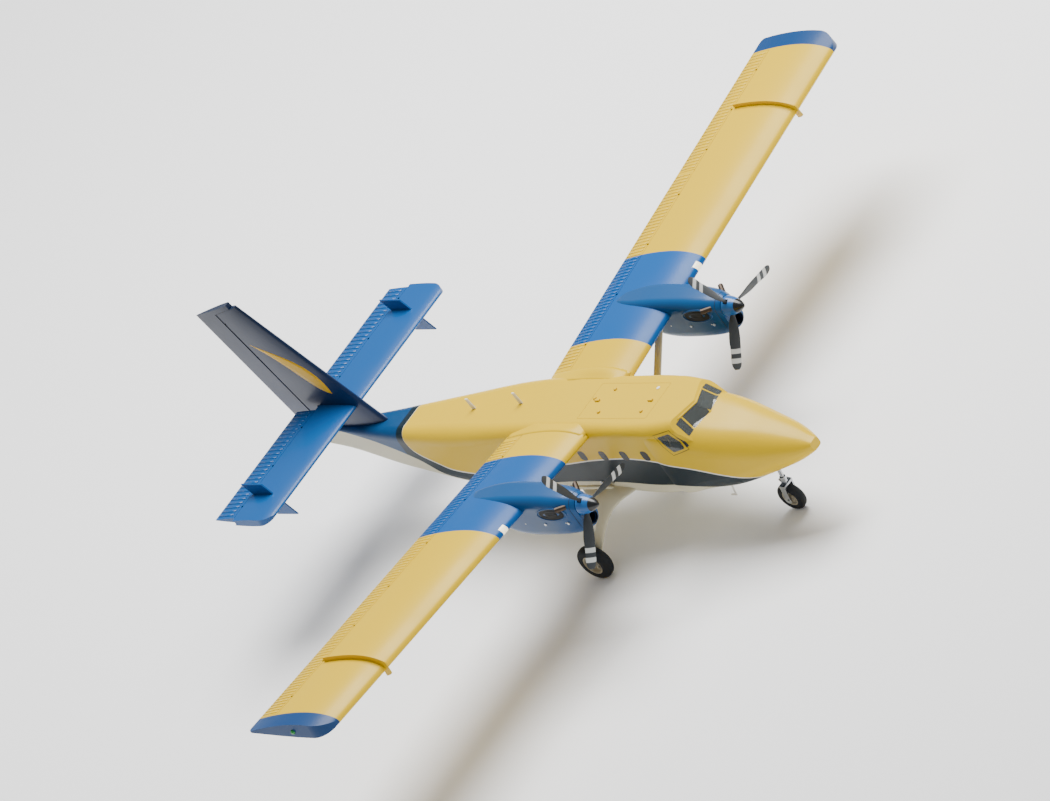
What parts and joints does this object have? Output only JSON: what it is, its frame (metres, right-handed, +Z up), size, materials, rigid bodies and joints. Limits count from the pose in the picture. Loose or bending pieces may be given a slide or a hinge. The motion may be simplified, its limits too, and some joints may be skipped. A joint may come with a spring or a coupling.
{
  "type": "radio control aeroplane",
  "caption": "High-wing strut-braced twin-propeller radio control transport aeroplane with fixed tricycle gear, moving control surfaces and a lift-off roof hatch.",
  "frame": {"origin": "on the ground under the middle of the length, between the two sides", "axes": "+X towards the nose, +Y to port, +Z up"},
  "size_m": [0.9618, 1.226, 0.3603],
  "materials": {
    "yellow_skin": "satin paint on moulded foam skin",
    "blue_skin": "satin paint on moulded foam skin",
    "cream_skin": "satin paint on moulded plastic",
    "tinted_glazing": "smoked clear sheet",
    "plywood": "laser-cut ply",
    "battery_wrap": "foil pouch cells in shrink wrap",
    "ballast_metal": "cast",
    "dark_plastic": "matte",
    "grey_plastic": "matte",
    "carbon": "woven carbon tube",
    "steel": "bright steel",
    "aluminium": "machined",
    "clear_lens": "clear",
    "red_lens": "clear red",
    "green_lens": "clear green",
    "tyre_rubber": "matte",
    "hub_plastic": "painted hub",
    "prop_plastic": "matte with painted bands"
  },
  "bodies": {
    "airframe": {"fuselage_left_shell": "yellow_skin", "fuselage_right_shell": "yellow_skin", "windshield": "tinted_glazing", "cockpit_side_windows": "tinted_glazing", "cabin_windows": "tinted_glazing", "formers_and_tray": "plywood", "battery_pack": "battery_wrap", "nose_ballast": "ballast_metal", "cockpit_interior": "grey_plastic", "aerials": "cream_skin", "wing_left": "yellow_skin", "wing_right": "yellow_skin", "wing_tips": "blue_skin", "wing_fences": "yellow_skin", "wing_joiner_rods": "carbon", "landing_lights": "clear_lens", "nav_light_red": "red_lens", "nav_light_green": "green_lens", "nacelle_left": "blue_skin", "nacelle_right": "blue_skin", "nacelle_lower_cowls": "blue_skin", "intake_lips": "dark_plastic", "motor_mounts": "plywood", "motor_stators": "aluminium", "electronics": "dark_plastic", "exhaust_stubs": "steel", "stabilizer": "blue_skin", "finlets": "blue_skin", "tail_fin": "blue_skin", "hinge_brackets": "aluminium", "hinge_wires": "steel", "wing_struts": "cream_skin", "main_gear_legs": "cream_skin", "main_gear_axles": "steel", "nose_leg_block": "dark_plastic", "screws": "steel"},
    "hatch": {"roof_hatch": "yellow_skin"},
    "prop_left": {"propeller_left": "prop_plastic", "spinner_left": "blue_skin", "motor_rotor_left": "steel"},
    "prop_right": {"propeller_right": "prop_plastic", "spinner_right": "blue_skin", "motor_rotor_right": "steel"},
    "aileron_left": {"aileron_left": "yellow_skin"},
    "flap_left": {"flap_left": "yellow_skin"},
    "arm_left": {"servo_arm_left": "dark_plastic"},
    "rod_left": {"pushrod_left": "steel"},
    "wheel_left": {"main_tyre_left": "tyre_rubber", "main_hub_left": "hub_plastic"},
    "aileron_right": {"aileron_right": "yellow_skin"},
    "flap_right": {"flap_right": "yellow_skin"},
    "arm_right": {"servo_arm_right": "dark_plastic"},
    "rod_right": {"pushrod_right": "steel"},
    "wheel_right": {"main_tyre_right": "tyre_rubber", "main_hub_right": "hub_plastic"},
    "elevator": {"elevator": "blue_skin"},
    "rudder": {"rudder": "blue_skin"},
    "nose_leg": {"nose_leg": "aluminium"},
    "nose_wheel": {"nose_tyre": "tyre_rubber", "nose_hub": "hub_plastic"}
  },
  "joints": [
    {"name": "prop_spin_left", "type": "hinge", "parent": "airframe", "child": "prop_left", "pos_m": [0.247, 0.173, 0.1788], "axis": [1, 0, 0], "continuous": true},
    {"name": "prop_spin_right", "type": "hinge", "parent": "airframe", "child": "prop_right", "pos_m": [0.247, -0.173, 0.1788], "axis": [1, 0, 0], "continuous": true},
    {"name": "aileron_left_hinge", "type": "hinge", "parent": "airframe", "child": "aileron_left", "pos_m": [0.0508, 0.48559, 0.21448], "axis": [0, 0.9963, 0.0863], "range_deg": [-20, 20]},
    {"name": "aileron_right_hinge", "type": "hinge", "parent": "airframe", "child": "aileron_right", "pos_m": [0.0508, -0.48559, 0.21448], "axis": [0, 0.9963, -0.0863], "range_deg": [-20, 20]},
    {"name": "flap_left_hinge", "type": "hinge", "parent": "airframe", "child": "flap_left", "pos_m": [0.0508, 0.22193, 0.19165], "axis": [0, 0.9963, 0.0863], "range_deg": [-30, 0]},
    {"name": "flap_right_hinge", "type": "hinge", "parent": "airframe", "child": "flap_right", "pos_m": [0.0508, -0.22193, 0.19165], "axis": [0, 0.9963, -0.0863], "range_deg": [-30, 0]},
    {"name": "servo_arm_left_pivot", "type": "hinge", "parent": "airframe", "child": "arm_left", "pos_m": [0.1028, 0.43417, 0.21003], "axis": [0, 0.9963, 0.0863], "range_deg": [-20, 20]},
    {"name": "pushrod_left_pivot", "type": "hinge", "parent": "arm_left", "child": "rod_left", "pos_m": [0.1028, 0.43529, 0.19708], "axis": [0, 0.9963, 0.0863], "range_deg": [-20, 20]},
    {"name": "servo_arm_right_pivot", "type": "hinge", "parent": "airframe", "child": "arm_right", "pos_m": [0.1028, -0.43417, 0.21003], "axis": [0, 0.9963, -0.0863], "range_deg": [-20, 20]},
    {"name": "pushrod_right_pivot", "type": "hinge", "parent": "arm_right", "child": "rod_right", "pos_m": [0.1028, -0.43529, 0.19708], "axis": [0, 0.9963, -0.0863], "range_deg": [-20, 20]},
    {"name": "elevator_hinge", "type": "hinge", "parent": "airframe", "child": "elevator", "pos_m": [-0.36776, 0, 0.1823], "axis": [0, 1, 0], "range_deg": [-20, 25]},
    {"name": "rudder_hinge", "type": "hinge", "parent": "airframe", "child": "rudder", "pos_m": [-0.38625, 0, 0.15], "axis": [-0.2515, 0, 0.9678], "range_deg": [-25, 25]},
    {"name": "nose_steering", "type": "hinge", "parent": "airframe", "child": "nose_leg", "pos_m": [0.37195, 0, 0.02], "axis": [0.225, 0, 0.9744], "range_deg": [-25, 25]},
    {"name": "nose_wheel_spin", "type": "hinge", "parent": "nose_leg", "child": "nose_wheel", "pos_m": [0.37195, 0, 0.02], "axis": [0, 1, 0], "continuous": true},
    {"name": "wheel_left_spin", "type": "hinge", "parent": "airframe", "child": "wheel_left", "pos_m": [0.11225, 0.1207, 0.025], "axis": [0, 1, 0], "continuous": true},
    {"name": "wheel_right_spin", "type": "hinge", "parent": "airframe", "child": "wheel_right", "pos_m": [0.11225, -0.1207, 0.025], "axis": [0, 1, 0], "continuous": true},
    {"name": "hatch_lift", "type": "slide", "parent": "airframe", "child": "hatch", "axis": [0, 0, 1], "range_m": [0, 0.05]}
  ],
  "couplings": [
    {"joint": "aileron_right_hinge", "follows": "aileron_left_hinge", "ratio": -1},
    {"joint": "servo_arm_left_pivot", "follows": "aileron_left_hinge", "ratio": 1},
    {"joint": "pushrod_left_pivot", "follows": "aileron_left_hinge", "ratio": -1},
    {"joint": "servo_arm_right_pivot", "follows": "aileron_left_hinge", "ratio": -1},
    {"joint": "pushrod_right_pivot", "follows": "aileron_left_hinge", "ratio": 1},
    {"joint": "flap_right_hinge", "follows": "flap_left_hinge", "ratio": 1},
    {"joint": "nose_steering", "follows": "rudder_hinge", "ratio": -1}
  ]
}
